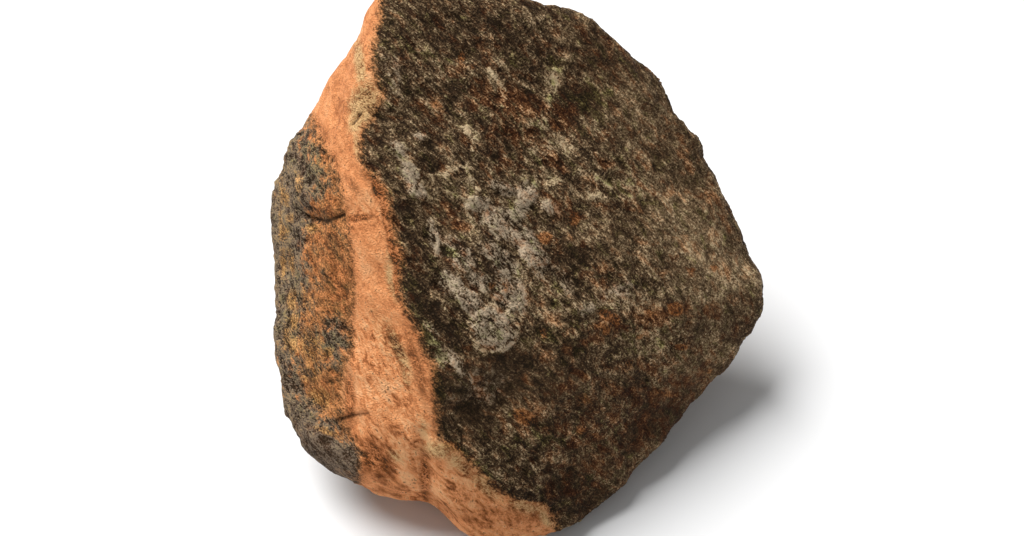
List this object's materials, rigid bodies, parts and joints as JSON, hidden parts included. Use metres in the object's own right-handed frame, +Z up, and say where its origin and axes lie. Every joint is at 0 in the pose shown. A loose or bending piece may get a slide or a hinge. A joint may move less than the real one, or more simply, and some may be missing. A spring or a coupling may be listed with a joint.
{
  "type": "martian meteorite stone",
  "caption": "Faceted natural stone with a sharp ridge, a low crease, a shallow hollow and one small flat spot that it rests on.",
  "frame": {"origin": "on the small flat spot that the stone rests on, straight below the stone's middle", "axes": "+Z up from the surface that the stone rests on; -Y towards the side with the broad dark face and the orange band; +X towards the blunt right corner of that view"},
  "size_m": [0.3322, 0.2957, 0.2571],
  "materials": {
    "meteorite_stone": "rough dark brown crust with an orange weathered band"
  },
  "bodies": {
    "root": {"meteorite_stone": "meteorite_stone"}
  },
  "joints": []
}
